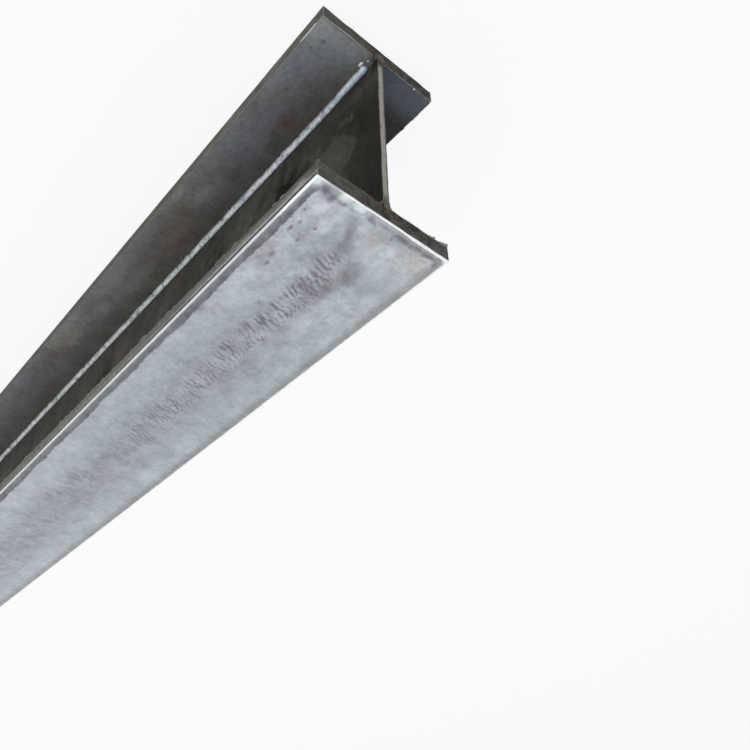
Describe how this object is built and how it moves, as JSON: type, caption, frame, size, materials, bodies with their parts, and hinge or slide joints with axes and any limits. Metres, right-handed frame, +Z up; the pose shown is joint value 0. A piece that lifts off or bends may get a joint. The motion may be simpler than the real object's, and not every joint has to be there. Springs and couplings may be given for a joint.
{
  "type": "steel h-beam",
  "caption": "Length of built-up steel H-beam: flange plates fillet-welded to a web plate along every inner corner, bare mill scale, cut square at the ends.",
  "frame": {"origin": "middle of the lower flange's underside, at half the beam's length", "axes": "+X along the beam, +Y across the flanges, +Z up through the web to the upper flange"},
  "size_m": [6, 0.2, 0.35],
  "materials": {
    "mill_scale_steel": "hot-rolled plate, unpainted, blue-grey mill scale with rust specks and scuffed faces",
    "weld_metal": "bright as-welded bead with fine ripples and blue heat tint"
  },
  "bodies": {
    "root": {"bottom_flange": "mill_scale_steel", "top_flange": "mill_scale_steel", "web_plate": "mill_scale_steel", "weld_bottom_left": "weld_metal", "weld_bottom_right": "weld_metal", "weld_top_left": "weld_metal", "weld_top_right": "weld_metal"}
  },
  "joints": []
}
